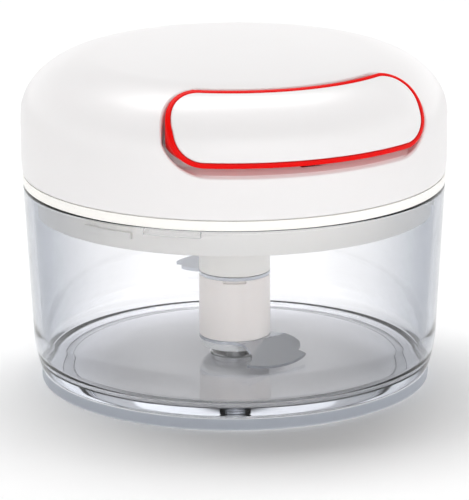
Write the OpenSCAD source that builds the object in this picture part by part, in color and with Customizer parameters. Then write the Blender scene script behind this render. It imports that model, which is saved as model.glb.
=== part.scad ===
// Hand chopper worked by a pull cord: a clear bowl on a grip pad, a blade hub on a pivot pin,
// and a domed lid that holds the cord spool, its ratchet and the pull handle.
// Millimetres, +Z up, origin on the bowl's axis at the table. The handle is pulled along -Y.

/* [Bowl] */
// Outer diameter of the bowl at its rim
rim_d = 124.5; // [116:0.5:134]
// How much smaller in radius the wall is where its foot curve starts
wall_taper = 2.15; // [1:0.05:4]
// Height of the rim above the table
bowl_h = 59.8; // [54:0.2:80]
// Thickness of the bowl wall
bowl_wall = 2.5; // [2:0.1:3]
// Thickness of the bowl floor
bowl_floor = 2.6; // [2.2:0.1:3.4]
// Height of the curved foot of the wall
foot_curve_h = 13; // [8:1:18]
// How far the foot tucks in at its lowest edge
foot_tuck = 2.2; // [1:0.1:3]
// Height of the boss that holds the pivot pin
boss_h = 2.3; // [2:0.1:3]
// Height of the grip pad under the bowl
pad_h = 4; // [3.4:0.1:5.2]
// How far the pad stays inside the bowl's lowest edge
pad_inset = 0.2; // [0:0.1:1]

/* [Lid] */
// How far the lid's side stands out past the bowl's rim
lid_overhang = 0.4; // [0.1:0.1:2]
// Height of the lid's straight side, from rim to shoulder
lid_side_h = 20.2; // [18:0.2:26]
// Width of the rounded shoulder
shoulder_w = 22.9; // [16:0.1:26]
// Height of the rounded shoulder
shoulder_h = 17.8; // [17.6:0.1:21]
// Rise of the lid's top at its centre
crown = 0.6; // [0.2:0.1:1.6]
// Wall of the domed cover
lid_wall = 2.2; // [1.8:0.1:2.6]
// Height of the plate's edge that shows under the cover
edge_h = 2.8; // [2.4:0.1:3.4]
// Depth of the skirt below the bowl's rim
skirt_drop = 7.8; // [7.2:0.1:10]
// Thickness of the skirt
skirt_wall = 2.1; // [1.6:0.1:2.6]
// Radial gap between skirt and bowl wall, which the bayonet lugs bridge
skirt_gap = 1.6; // [1.3:0.1:2]
// Thickness of the plate's floor
plate_t = 2; // [1.6:0.1:2.6]
// Length of the boss under the plate that covers the coupling
lid_boss_h = 21.65; // [18:0.05:24]
// Height of one bayonet lug
lug_h = 1.8; // [1.4:0.1:2]
// Angle that one bayonet lug covers
lug_deg = 16; // [12:1:20]

/* [Handle] */
// Width of the pull handle
handle_w = 78; // [66:1:84]
// Corner radius of the handle's outline
corner_r = 8.3; // [6:0.1:10]
// How far the handle reaches below the lid's shoulder
handle_drop = 1.8; // [1:0.1:3]
// Angle round the shoulder at which the handle's top edge lies
handle_top_a = 66; // [60:1:68]
// Thickness of the handle's coloured back
back_t = 4.8; // [4.4:0.1:5.6]
// Thickness of the handle's white face
face_t = 1.7; // [1.4:0.1:2.4]
// Width of the coloured rim that shows round the face
rim_w = 1.5; // [0.8:0.1:2]
// How far the coloured back, under its face, stands proud of the lid
rim_proud = 0.3; // [0:0.1:0.8]
// How far the coloured rim stands up round the face
rim_lip = 0.9; // [0.2:0.1:1.4]
// Gap above and below the handle in the lid's pocket
pocket_gap = 2.7; // [1.5:0.1:3.2]
// Gap beside the handle's two ends
pocket_end_gap = 1.2; // [0.8:0.1:2.7]

/* [Blades] */
// Diameter of the blade hub
hub_d = 21.2; // [19:0.2:24]
// Reach of the lower blade from the axis
lower_reach = 23.6; // [20:0.1:30]
// Reach of the upper blade from the axis
upper_reach = 19.4; // [17:0.1:24]
// Thickness of the blade steel
blade_t = 1; // [0.8:0.1:1.4]
// Downward bend of the lower blade
blade_bend = 20; // [10:1:22]
// Height of the cap under the lower blade
cap_h = 2.4; // [2:0.1:3]
// Diameter of the pivot pin
pin_d = 6; // [5:0.1:6.4]
// Wall of the bush that turns on the pin
bush_wall = 1.95; // [1.2:0.05:2]

/* [Drive] */
// Diameter of the drive shaft and of the spool's axle
shaft_d = 8; // [6:0.1:8.6]
// Angle that one coupling claw covers
claw_deg = 40; // [20:1:50]
// Height of one coupling claw
claw_h = 3.5; // [2.5:0.1:4]
// Outer diameter of the ratchet rotor
rotor_d = 34; // [32:0.5:35]
// Thickness of the ratchet rotor's disc
rotor_t = 3; // [2:0.1:4]
// Number of ratchet teeth
teeth = 12; // [10:2:14]
// Depth of one ratchet tooth
tooth_h = 2; // [1.4:0.1:2]
// Thickness of a pawl
pawl_t = 3; // [2:0.1:3.4]

/* [Spool and cord] */
// Diameter of the spool's drum
drum_d = 34; // [28:0.5:38]
// Diameter of the spool's flanges
flange_d = 52; // [50:0.5:58]
// Width of the cord groove
groove_w = 6; // [5:0.2:7]
// Thickness of one spool flange
flange_t = 1.8; // [1.4:0.1:2.2]
// Depth of the wound cord on the drum
wound_t = 6; // [3:0.5:6.4]
// Diameter of the cord
cord_d = 2; // [1.6:0.1:2.4]
// Width of the recoil spring's strip
strip_w = 4; // [3:0.1:4.4]
// Turns of the recoil spring
spring_turns = 6; // [4:1:8]

/* [Fits] */
// Radial clearance of a pin or shaft that turns in a hole
run_fit = 0.05; // [0.02:0.01:0.09]
// Gap between faces that move past each other
slip = 0.25; // [0.2:0.05:0.4]
// Gap between lid and bowl rim
rim_gap = 0.3; // [0.2:0.05:0.5]

/* [Hidden] */
$fn = 96;

// bowl heights and radii
rim_r = rim_d / 2;
foot_r = rim_r - wall_taper;
foot_top_z = pad_h + foot_curve_h;
floor_z = pad_h + bowl_floor;
floor_fillet = 4;
rib_w = 2.4;                                  // rib under the bowl that the pad grips
rib_h = 1.6;
rib_r = foot_r - 9;
hole_bottom = 1;                              // floor left under the pin's blind hole
boss_r = 7;

seat = 0.05;                                  // gap of a seated, unmoving fit
skirt_z = bowl_h - skirt_drop;
plate_floor_z = skirt_z + 2;                  // underside of the plate's floor
shaft_r = shaft_d / 2;

// blade stack: the cap sits over the boss, the upper blade under the lid's boss
blade_a = -21.5;                              // angle at which the hub rests
bend_a = -50;                                 // direction in which the lower blade bends
bend_x = hub_d / 2 + 0.4;
cap_z = floor_z + boss_h + slip;
lower_blade_z = cap_z + cap_h;
sleeve_z = lower_blade_z + blade_t;
lid_boss_z = plate_floor_z - lid_boss_h;
stack_top_z = lid_boss_z - 0.2;
upper_blade_z = stack_top_z - blade_t;
hub_r = hub_d / 2;
pin_r = pin_d / 2;
bush_r = pin_r + run_fit + bush_wall;
spigot_r = hub_r - 3;
cap_lip = 0.8;
collar_w = 0.9;                               // steel always left round a blade's hub hole
socket_z = stack_top_z + 1.8;                 // where the sleeve's claws start
claw_r = spigot_r - 0.2;
claw_in = bush_r - 0.1;

// coupling and drive shaft
lid_boss_bore = hub_r - 1.8;
claw_clear = 0.5;
dog_z = socket_z + claw_h + claw_clear;       // underside of the drive claw's disc
dog_t = 4;
dog_r = lid_boss_bore - 0.6;
dog_neck_r = shaft_r + 2.4;
dog_neck_h = 5;
roll_r = 1;

// lid heights and radii
lid_r = rim_r + lid_overhang;
plate_z = bowl_h + rim_gap;
cover_z = plate_z + edge_h + 0.1;
shoulder_z = bowl_h + lid_side_h;
plateau_r = lid_r - shoulder_w;
lid_top_z = shoulder_z + shoulder_h;
edge_r = lid_r - 0.35;
skirt_r = rim_r - bowl_wall - skirt_gap;
skirt_in = skirt_r - skirt_wall;
floor_top_z = plate_floor_z + plate_t;
seal_w = 1.55;
seal_h = 1.05;
seal_in = rim_r - bowl_wall + 0.3;
rib_top_z = cover_z + 3;
twist_gap_deg = 4;                            // free angle between a lid lug and a bowl lug
lug_count = 3;
lug_a0 = 203.5;
bowl_lug_z = bowl_h - 0.6 - lug_h;
lid_lug_z = bowl_lug_z - slip - lug_h;

// screw posts, clear of the handle's pocket
post_r = 4;
post_ring_r = lid_r - 13.65;
post_angles = [90, 205, 335];
screw_r = 1.2;
screw_head_r = 2.8;
screw_head_h = 1.6;
screw_len = 12;

// the cord leaves the lid at this height
cord_z = shoulder_z + 0.4;
cord_r = cord_d / 2;
mouth_r = 4.8;
pocket_depth = back_t - rim_proud + 0.7;
pocket_slope = 1.8;                           // rise of the pocket's lower wall from front to back
tub_r = lid_r - pocket_depth;
eyelet_flange_t = 1.2;
eyelet_flange_r = mouth_r + 1.2;
eyelet_y = tub_r - lid_wall - 1.9;

// spool, ratchet and spring heights, set from the cord
drum_z = cord_z - groove_w / 2;
web_z = drum_z - flange_t;
drum_top_z = drum_z + groove_w;
cup_z = drum_top_z + flange_t;
cup_h = strip_w + 1.5;
spool_cover_t = 1.2;
spool_top_z = cup_z + cup_h + spool_cover_t;
drum_r = drum_d / 2;
flange_r = flange_d / 2;
cup_r = flange_r - 2;
cup_wall = 1.5;
rotor_r = rotor_d / 2;
tip_r = rotor_r + 2;                          // ratchet tooth tips
root_r = tip_r + tooth_h;
ring_r = flange_r - 2;
ratchet_h = 5.5;
ring_z = web_z - ratchet_h;
rotor_z = ring_z - rotor_t - 0.2;
rotor_hub_r = shaft_r + 3.5;
rotor_hub_top = web_z - 1;
washer_t = 0.5;
tower_top_z = rotor_z - washer_t - 0.2;
shaft_bush_r = shaft_r + 2;
tower_r = shaft_bush_r + 3;
washer_r = tower_r - 0.5;
shaft_top_z = drum_z + 0.8;
axle_z = shaft_top_z + 0.4;
axle_boss_r = shaft_r + 4;

// pawls: the pins sit on the rotor, the tips reach the ring's teeth
pawl_ring_r = rotor_r - 2.6;
pawl_pin_r = 1.1;
pawl_boss_r = 2.4;
pawl_z = rotor_z + rotor_t + 0.3;
tooth_deg = 360 / teeth;
tooth_face_a = 36;                            // angle of the tooth face that the first pawl meets
pawl_slack = 4.5;                             // free angle before the tooth, in which the pawl can swing clear

// handle
arc_step = 7.5;                               // angle between the points along the shoulder
handle_z = shoulder_z - handle_drop;
handle_r_top = plateau_r + shoulder_w * cos(handle_top_a);
knot_r = 2.1;
knot_rise = 0.8;                              // the knot sits above the cord's line, clear of the lower edge
knot_y = lid_r + rim_proud - 2.4;
handle_mid_a = 42;                            // shoulder angle at the handle screws
handle_screw_x = 24;
handle_head_r = 2.4;
handle_head_h = 1.1;
head_sink = 0.5;                              // the screw heads lie this deep in the handle's back
face_boss_r = 2.8;

// ---- helpers ----

// outer radius of the bowl wall at height z
function wall_r(z) = z >= foot_top_z
    ? foot_r + (rim_r - foot_r) * (z - foot_top_z) / (bowl_h - foot_top_z)
    : foot_r - foot_tuck * pow((foot_top_z - z) / foot_curve_h, 2);

// a point on the shoulder's ellipse at angle t, moved outward by off
function shoulder_n(t) = let (v = [cos(t) / shoulder_w, sin(t) / shoulder_h]) v / norm(v);
function shoulder_pt(t, off) =
    [plateau_r + shoulder_w * cos(t), shoulder_z + shoulder_h * sin(t)] + off * shoulder_n(t);
function shoulder_arc(off, t1) = [
    for (t = [0 : arc_step : t1 - 0.5]) shoulder_pt(t, off),
    shoulder_pt(t1, off)
];
function both_sides(pts) = concat(pts, [for (p = reversed(pts)) [-p[0], p[1]]]);
function reversed(list) = [for (i = [len(list) - 1 : -1 : 0]) list[i]];
function polar(r, a) = [r * cos(a), r * sin(a)];

module tube(r_out, r_in, z0, z1) {
    translate([0, 0, z0])
        difference() {
            cylinder(r = r_out, h = z1 - z0);
            translate([0, 0, -1]) cylinder(r = r_in, h = z1 - z0 + 2);
        }
}

module rod(r, z0, z1) {
    translate([0, 0, z0]) cylinder(r = r, h = z1 - z0);
}

// part of a ring between two angles
module arc_block(r_in, r_out, z0, z1, a0, deg) {
    rotate([0, 0, a0])
        rotate_extrude(angle = deg)
            translate([r_in, z0]) square([r_out - r_in, z1 - z0]);
}

// a rod along -Y at the cord's height
module cord_bore(r, y0, y1) {
    translate([0, -y0, cord_z]) rotate([90, 0, 0]) cylinder(r = r, h = y1 - y0);
}

// the lid's outside as a solid, moved in by inset
module dome_solid(inset, z0) {
    rotate_extrude()
        polygon(concat(
            [[0, z0], [edge_r - inset, z0], [lid_r - inset, z0 + 4]],
            shoulder_arc(-inset, 90),
            [[0, lid_top_z + crown - inset]]
        ));
}

// a layer that follows the lid's side and shoulder, from z_lo up to the angle t_hi
module lid_layer(off_in, off_out, z_lo, t_hi, z_slope = 0) {
    rotate_extrude()
        polygon(concat(
            [[lid_r + off_out, z_lo]],
            shoulder_arc(off_out, t_hi),
            reversed(shoulder_arc(off_in, t_hi)),
            [[lid_r + off_in, z_lo + z_slope]]
        ));
}

// handle outline seen from the front, grown by m and narrowed at each end: its lower corners are round
module front_outline(m, narrow = 0) {
    centre = [handle_w / 2 - narrow - corner_r, handle_z + corner_r];
    side = [for (a = [0 : -10 : -90]) centre + polar(corner_r + m, a)];
    top = [[side[0][0], 2 * lid_top_z]];
    rotate([90, 0, 0]) linear_extrude(lid_r + 20) polygon(both_sides(concat(top, side)));
}

// handle outline seen from above, grown by m and narrowed at each end: its upper corners are round
module plan_outline(m, narrow = 0) {
    x = handle_w / 2 - narrow - corner_r;
    y = sqrt(pow(handle_r_top + corner_r, 2) - x * x);
    inner_a = atan2(y, -x);
    side = [for (i = [0 : 9]) [x, -y] + polar(corner_r + m, inner_a * i / 9)];
    front = [[side[0][0], -2 * lid_r]];
    linear_extrude(lid_top_z + 20) polygon(both_sides(concat(front, side, [[0, 0]])));
}

module handle_shape(off_in, off_out, m) {
    intersection() {
        lid_layer(off_in, off_out, handle_z - m, handle_top_a + m * 2.1);
        front_outline(m);
        plan_outline(m);
    }
}

// the space of the handle's pocket
module pocket_shape(depth, m) {
    narrow = pocket_gap - pocket_end_gap;
    intersection() {
        lid_layer(-depth, 6, handle_z - m, handle_top_a + m * 2.1, pocket_slope);
        front_outline(m, narrow);
        plan_outline(m, narrow);
    }
}

// places children on the handle's back at its screws, square to it, with +Z outward
module at_handle_screws() {
    mid = shoulder_pt(handle_mid_a, rim_proud - back_t);
    n = shoulder_n(handle_mid_a);
    for (s = [-1, 1])
        rotate([0, 0, s * asin(handle_screw_x / mid[0])])
            translate([0, -mid[0], mid[1]]) rotate([90 - atan2(n[1], n[0]), 0, 0]) children();
}

// ---- bowl and pad ----

module bowl() {
    steps = 6;
    outer = [for (i = [0 : steps]) let (z = pad_h + foot_curve_h * i / steps) [wall_r(z), z]];
    inner_foot = wall_r(floor_z + floor_fillet) - bowl_wall;
    fillet = [for (i = [0 : steps]) let (a = -90 * i / steps)
        [inner_foot - floor_fillet + floor_fillet * cos(a), floor_z + floor_fillet + floor_fillet * sin(a)]];
    color([0.86, 0.89, 0.94, 0.45])
        difference() {
            union() {
                rotate_extrude()
                    polygon(concat(
                        [[0, pad_h]], outer, [[rim_r, bowl_h], [rim_r - bowl_wall, bowl_h]],
                        [[foot_r - bowl_wall, foot_top_z]], fillet, [[0, floor_z]]
                    ));
                tube(rib_r, rib_r - rib_w, pad_h - rib_h, pad_h + 0.5);
                translate([0, 0, floor_z - 0.5]) cylinder(r1 = boss_r, r2 = boss_r - 0.8, h = boss_h + 0.5);
                for (i = [0 : lug_count - 1])
                    arc_block(skirt_r + slip, rim_r - bowl_wall + 0.6, bowl_lug_z, bowl_lug_z + lug_h,
                        lug_a0 + lug_deg + twist_gap_deg + i * 360 / lug_count, lug_deg);
            }
            rod(pin_r, pad_h + hole_bottom, bowl_h);
        }
}

module base_pad() {
    chamfer = 0.6;
    r = wall_r(pad_h) - pad_inset;
    color([0.74, 0.76, 0.79])
        difference() {
            rotate_extrude()
                polygon([[0, 0], [r - chamfer, 0], [r, chamfer], [r, pad_h], [0, pad_h]]);
            tube(rib_r + seat, rib_r - rib_w - seat, pad_h - rib_h - seat, pad_h + 1);
        }
}

module pivot_pin() {
    chamfer = 0.8;
    top = socket_z - 1;
    color([0.8, 0.81, 0.83])
        rotate_extrude()
            polygon([[0, pad_h + hole_bottom], [pin_r, pad_h + hole_bottom], [pin_r, top - chamfer],
                [pin_r - chamfer, top], [0, top]]);
}

// ---- blade hub ----

module blade_sleeve() {
    notch_w = 7;
    notch_h = 0.9;
    color([0.93, 0.91, 0.9])
        difference() {
            union() {
                rod(hub_r, sleeve_z, upper_blade_z);
                rod(spigot_r, cap_z + cap_lip, sleeve_z + 0.5);
                rod(spigot_r, upper_blade_z - 0.5, socket_z);
                for (a = [0, 180])
                    arc_block(claw_in, claw_r, socket_z - 0.5, socket_z + claw_h, a - claw_deg / 2, claw_deg);
            }
            rod(bush_r, cap_z, socket_z + claw_h + 1);
            rotate([0, 0, blade_a])
                translate([-notch_w / 2, -hub_r - 1, upper_blade_z - notch_h]) cube([notch_w, 2, 2]);
        }
}

module pivot_bush() {
    color([0.72, 0.6, 0.36]) tube(bush_r, pin_r + run_fit, cap_z + cap_lip, socket_z - 0.5);
}

// one blade seen from above: a fan that ends in a hooked tip, less the bite in front of the hook
module blade_plan(reach) {
    s = reach / 23.6;
    circle(r = spigot_r + collar_w);
    difference() {
        intersection() {
            circle(r = reach);
            union() {
                circle(r = hub_r);
                translate(s * [10.5, -11]) circle(r = 10.9 * s);
                polygon(concat(
                    [[0, 0]],
                    [for (a = [-20 : -12 : -92]) polar(reach + 2, a)],
                    [[0, -hub_r]]
                ));
            }
        }
        translate(s * [-3.9, -18.9]) circle(r = 8.9 * s);
        translate([0, -reach]) rotate([0, 0, 8]) translate([-reach - 1, -4]) square([reach, 8]);
        polygon([polar(reach - 3 * s, -26), polar(reach + 4, -26), polar(reach + 4, 0), polar(10.6, 0),
            polar(19.2 * s, -9), polar(20.6 * s, -19)]);
    }
}

// half of the plan, on the hub's side of the bend line or beyond it
module blade_part(reach, beyond) {
    far = reach + 5;
    overlap = 0.15;
    intersection() {
        blade_plan(reach);
        rotate([0, 0, bend_a])
            translate([beyond ? bend_x - overlap : -far, -far]) square([beyond ? far : far + bend_x, 2 * far]);
    }
}

// the blade lies flat round the hub and bends down beyond the bend line
module bent_blade(reach, bend) {
    linear_extrude(blade_t) blade_part(reach, false);
    rotate([0, 0, bend_a]) translate([bend_x, 0, 0]) rotate([0, bend, 0]) translate([-bend_x, 0, 0])
        rotate([0, 0, -bend_a]) linear_extrude(blade_t) blade_part(reach, true);
}

module hub_hole(z) {
    translate([0, 0, z - 1]) cylinder(r = spigot_r + seat, h = blade_t + 2);
}

module lower_blade() {
    color([0.62, 0.64, 0.67])
        difference() {
            translate([0, 0, lower_blade_z]) rotate([0, 0, blade_a]) bent_blade(lower_reach, blade_bend);
            hub_hole(lower_blade_z);
        }
}

module upper_blade() {
    color([0.62, 0.64, 0.67])
        difference() {
            translate([0, 0, upper_blade_z])
                rotate([0, 0, blade_a + 180]) linear_extrude(blade_t) blade_plan(upper_reach);
            hub_hole(upper_blade_z);
        }
}

module blade_end_cap() {
    color([0.92, 0.93, 0.94]) {
        difference() {
            rotate_extrude()
                polygon([[pin_r + 1, cap_z], [hub_r - 1, cap_z], [hub_r - 0.2, cap_z + 0.8],
                    [hub_r - 0.2, lower_blade_z], [pin_r + 1, lower_blade_z]]);
            rod(spigot_r + seat, cap_z + cap_lip, lower_blade_z + 1);
        }
    }
}

// ---- lid ----

module seal_ring() {
    color([0.88, 0.89, 0.9]) tube(seal_in + seal_w, seal_in, plate_z - 0.2, plate_z - 0.2 + seal_h);
}

module lid_plate() {
    groove_in = seal_in - 0.1;
    groove_w_seal = seal_w + 0.2;
    groove_top = plate_z - 0.2 + seal_h + 0.1;
    cover_in = edge_r - lid_wall;
    color([0.93, 0.92, 0.89])
        difference() {
            union() {
                rotate_extrude() {
                    polygon([
                        [0, plate_floor_z], [skirt_in, plate_floor_z], [skirt_in, skirt_z],
                        [skirt_r, skirt_z], [skirt_r, plate_z], [edge_r, plate_z], [edge_r, cover_z - 0.1],
                        [cover_in - 0.1, cover_z - 0.1], [cover_in - 0.1, rib_top_z],
                        [cover_in - 1.8, rib_top_z], [cover_in - 1.8, cover_z - 0.1],
                        [skirt_in, cover_z - 0.1], [skirt_in, floor_top_z], [0, floor_top_z]
                    ]);
                }
                rod(hub_r, lid_boss_z, plate_floor_z + 0.5);
                rod(tower_r, floor_top_z - 0.5, tower_top_z);
                for (i = [0 : lug_count - 1])
                    arc_block(skirt_r - 0.5, wall_r(lid_lug_z) - bowl_wall - slip, lid_lug_z,
                        lid_lug_z + lug_h, lug_a0 + i * 360 / lug_count, lug_deg);
            }
            tube(groove_in + groove_w_seal, groove_in, plate_z - 1, groove_top);
            rod(lid_boss_bore, lid_boss_z - 1, plate_floor_z);
            rod(shaft_bush_r, lid_boss_z, tower_top_z + 1);
            for (a = post_angles)
                translate(concat(polar(post_ring_r, a), 0)) rod(screw_r + 0.3, skirt_z, floor_top_z + 1);
        }
}

module lid_cover() {
    color([0.95, 0.95, 0.95])
        difference() {
            union() {
                difference() {
                    dome_solid(0, cover_z);
                    dome_solid(lid_wall, cover_z - 0.01);
                }
                intersection() {
                    dome_solid(0.4, cover_z);
                    pocket_shape(pocket_depth + lid_wall, pocket_gap + lid_wall);
                }
                intersection() {
                    dome_solid(1, floor_top_z);
                    union() {
                        for (a = post_angles)
                            translate(concat(polar(post_ring_r, a), 0)) rod(post_r, floor_top_z, lid_top_z);
                        rod(axle_boss_r, spool_top_z + 0.5, lid_top_z);
                    }
                }
            }
            pocket_shape(pocket_depth, pocket_gap);
            cord_bore(mouth_r, eyelet_y, lid_r + 5);
            cord_bore(eyelet_flange_r + seat, eyelet_y - 4, eyelet_y + eyelet_flange_t);
            rod(shaft_r, spool_top_z, lid_top_z - lid_wall);
            for (a = post_angles)
                translate(concat(polar(post_ring_r, a), 0))
                    rod(screw_r, floor_top_z - 1, floor_top_z + screw_len);
        }
}

module lid_screws() {
    head_z = plate_floor_z - screw_head_h;
    color([0.75, 0.76, 0.78])
        for (a = post_angles)
            translate(concat(polar(post_ring_r, a), 0)) {
                difference() {
                    rod(screw_head_r, head_z, head_z + screw_head_h);
                    rod(1, head_z - 1, head_z + 0.8);
                }
                rod(screw_r, head_z + screw_head_h - 0.1, floor_top_z + screw_len - 1.5);
            }
}

module cord_eyelet() {
    // a flared bush in the wall behind the handle
    front = tub_r - 1.4;
    seat_y = eyelet_y + eyelet_flange_t;
    color([0.35, 0.35, 0.37])
        translate([0, 0, cord_z]) rotate([90, 0, 0])
            rotate_extrude()
                polygon([[cord_r + 0.3, eyelet_y], [eyelet_flange_r, eyelet_y], [eyelet_flange_r, seat_y],
                    [mouth_r, seat_y], [mouth_r, front], [mouth_r - 0.8, front], [cord_r + 0.3, front - 1]]);
}

module shaft_bush() {
    flange_r_bush = lid_boss_bore - 0.8;
    color([0.72, 0.6, 0.36]) {
        difference() {
            union() {
                rod(shaft_bush_r, plate_floor_z - 1, tower_top_z - 0.2);
                rod(flange_r_bush, plate_floor_z - 1.2, plate_floor_z);
            }
            rod(shaft_r + run_fit, lid_boss_z, tower_top_z + 1);
        }
    }
}

module spool_axle() {
    color([0.75, 0.76, 0.78]) rod(shaft_r, axle_z, lid_top_z - lid_wall);
}

// ---- drive ----

module drive_claw() {
    color([0.9, 0.9, 0.88])
        difference() {
            union() {
                rod(dog_r, dog_z, dog_z + dog_t);
                rod(dog_neck_r, dog_z, dog_z + dog_t + dog_neck_h);
                for (a = [90, 270])
                    arc_block(claw_in, claw_r, dog_z - claw_h, dog_z + 0.5, a - claw_deg / 2, claw_deg);
            }
            rod(shaft_r, dog_z - claw_h - 1, dog_z + dog_t + dog_neck_h + 1);
            roll_bore();
        }
}

module roll_bore() {
    translate([-dog_neck_r - 1, 0, dog_z + dog_t + dog_neck_h / 2])
        rotate([0, 90, 0]) cylinder(r = roll_r, h = 2 * dog_neck_r + 2);
}

module drive_shaft() {
    color([0.75, 0.76, 0.78])
        difference() {
            rod(shaft_r, dog_z, shaft_top_z);
            roll_bore();
        }
}

module roll_pin() {
    color([0.55, 0.56, 0.58])
        translate([-dog_neck_r, 0, dog_z + dog_t + dog_neck_h / 2])
            rotate([0, 90, 0]) cylinder(r = roll_r, h = 2 * dog_neck_r);
}

module thrust_washer() {
    color([0.8, 0.8, 0.82]) tube(washer_r, shaft_r + 0.1, tower_top_z, tower_top_z + washer_t);
}

module ratchet_rotor() {
    color([0.85, 0.87, 0.9])
        difference() {
            union() {
                rod(rotor_r, rotor_z, rotor_z + rotor_t);
                rod(rotor_hub_r, rotor_z, rotor_hub_top);
            }
            rod(shaft_r, rotor_z - 1, rotor_hub_top + 1);
            for (a = [0, 180]) translate(concat(polar(pawl_ring_r, a), 0))
                rod(pawl_pin_r, rotor_z + 0.8, rotor_z + rotor_t + 1);
        }
}

module pawl_pins() {
    color([0.6, 0.61, 0.63])
        for (a = [0, 180]) translate(concat(polar(pawl_ring_r, a), 0))
            rod(pawl_pin_r, rotor_z + 0.8, pawl_z + pawl_t + 1.1);
}

// one pawl: it turns on its pin and its tip pushes on a tooth face of the spool's ring
module pawl() {
    face = tooth_face_a - pawl_slack;
    tip_out = polar(root_r - 0.9, face);
    tip_in = polar(tip_r - 1.4, face);
    color([0.92, 0.75, 0.3])
        difference() {
            union() {
                translate([pawl_ring_r, 0, pawl_z]) cylinder(r = pawl_boss_r, h = pawl_t);
                translate([0, 0, pawl_z]) linear_extrude(pawl_t)
                    polygon([[pawl_ring_r - pawl_boss_r, 0.2], [pawl_ring_r + pawl_boss_r, 0.2],
                        polar(tip_r - 0.3, face - 13), tip_out, tip_in]);
            }
            translate([pawl_ring_r, 0, 0]) rod(pawl_pin_r + run_fit, pawl_z - 1, pawl_z + pawl_t + 1);
        }
}

module pawl_a() pawl();
module pawl_b() rotate([0, 0, 180]) pawl();

// a torsion spring over the pawl's boss, with one leg along the pawl
module pawl_spring() {
    z = pawl_z + pawl_t + 0.1;
    wire = 0.7;
    color([0.5, 0.51, 0.53])
        translate([pawl_ring_r, 0, 0]) {
            tube(pawl_pin_r + 0.1 + wire, pawl_pin_r + 0.1, z, z + 0.9);
            rotate([0, 0, 70]) translate([pawl_pin_r + 0.4, -wire / 2, z]) cube([7, wire, wire]);
        }
}

module pawl_spring_a() pawl_spring();
module pawl_spring_b() rotate([0, 0, 180]) pawl_spring();

// ---- spool ----

module spool() {
    core_wall = 2;
    hub = shaft_r + 2.6;
    tooth_pts = [for (i = [0 : teeth - 1]) let (a = tooth_face_a + i * tooth_deg)
        each [polar(tip_r, a + 0.01), for (k = [1 : 4]) polar(tip_r + tooth_h * k / 4, a + tooth_deg * k / 4)]];
    color([0.88, 0.88, 0.9])
        difference() {
            union() {
                rod(ring_r, ring_z, web_z + 0.5);
                rod(flange_r, web_z, drum_z);
                rod(drum_r, drum_z - 0.5, drum_top_z + 0.5);
                rod(flange_r, drum_top_z, cup_z);
                tube(cup_r, cup_r - cup_wall, cup_z - 0.5, cup_z + cup_h);
            }
            translate([0, 0, ring_z - 1]) linear_extrude(ratchet_h + 1) polygon(tooth_pts);
            tube(drum_r - core_wall, hub, web_z - 1, drum_top_z - 1);
            rod(shaft_r + run_fit, ring_z - 1, cup_z + 1);
        }
}

module spool_cover() {
    lip = 1;
    color([0.82, 0.84, 0.86])
        difference() {
            union() {
                rod(cup_r, cup_z + cup_h, spool_top_z);
                tube(cup_r - cup_wall - seat, cup_r - cup_wall - 1.4, cup_z + cup_h - lip, cup_z + cup_h + 0.5);
            }
            rod(shaft_r + 1, cup_z, spool_top_z + 1);
        }
}

// a flat strip wound in a spiral between the axle and the cup
module recoil_spring() {
    strip_t = 0.5;
    r0 = shaft_r + 0.4;
    r1 = cup_r - cup_wall - 0.2 - strip_t;
    step_a = 15;
    count = spring_turns * 360 / step_a;
    inner = [for (i = [0 : count]) polar(r0 + (r1 - r0) * i / count, i * step_a)];
    outer = [for (i = [0 : count]) polar(r0 + strip_t + (r1 - r0) * i / count, i * step_a)];
    color([0.45, 0.47, 0.5])
        translate([0, 0, cup_z + 0.2]) linear_extrude(strip_w) polygon(concat(outer, reversed(inner)));
}

module cord_winding() {
    r0 = drum_r;
    r1 = drum_r + wound_t;
    h = groove_w - 0.4;
    bulge = 1;
    color([0.93, 0.93, 0.92])
        translate([0, 0, drum_z + 0.2])
            rotate_extrude()
                polygon([[r0, 0], [r1 - bulge, 0], [r1, bulge], [r1, h - bulge], [r1 - bulge, h], [r0, h]]);
}

// ---- cord from the spool to the handle ----

// The lead leaves the winding on a tangent and runs straight to the eyelet.
lead_r = drum_r + wound_t + cord_r + 0.4;
lead_a = -asin(lead_r / eyelet_y);
lead_start = polar(lead_r, lead_a);
lead_end = [0, -eyelet_y + 0.1];

module cord_lead() {
    d = lead_end - lead_start;
    color([0.93, 0.93, 0.92])
        translate([lead_start[0], lead_start[1], cord_z])
            rotate([0, 90, atan2(d[1], d[0])]) cylinder(r = cord_r, h = norm(d), $fn = 24);
}

module cord_run() {
    color([0.93, 0.93, 0.92]) cord_bore(cord_r, eyelet_y - 0.1, knot_y);
}

module cord_knot() {
    color([0.9, 0.9, 0.88])
        difference() {
            translate([0, -knot_y, cord_z + knot_rise]) sphere(r = knot_r, $fn = 32);
            cord_bore(cord_r, eyelet_y, knot_y);
        }
}

// ---- handle ----

module handle_back() {
    cavity_r = knot_r + 0.2;
    color([0.93, 0.07, 0.05])
        difference() {
            handle_shape(rim_proud - back_t, rim_proud + rim_lip, 0);
            handle_shape(rim_proud, rim_proud + rim_lip + 1, -rim_w);
            cord_bore(cord_r + seat, lid_r - back_t - 5, knot_y);
            translate([0, 0, knot_rise]) cord_bore(cavity_r, knot_y - cavity_r, lid_r + rim_proud + seat);
            at_handle_screws() {
                translate([0, 0, -8]) cylinder(r = handle_head_r + 0.1, h = 8 + head_sink + handle_head_h);
                cylinder(r = screw_r + seat, h = back_t + 2);
                translate([0, 0, head_sink + handle_head_h + 1]) cylinder(r = face_boss_r + seat, h = back_t);
            }
        }
}

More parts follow.
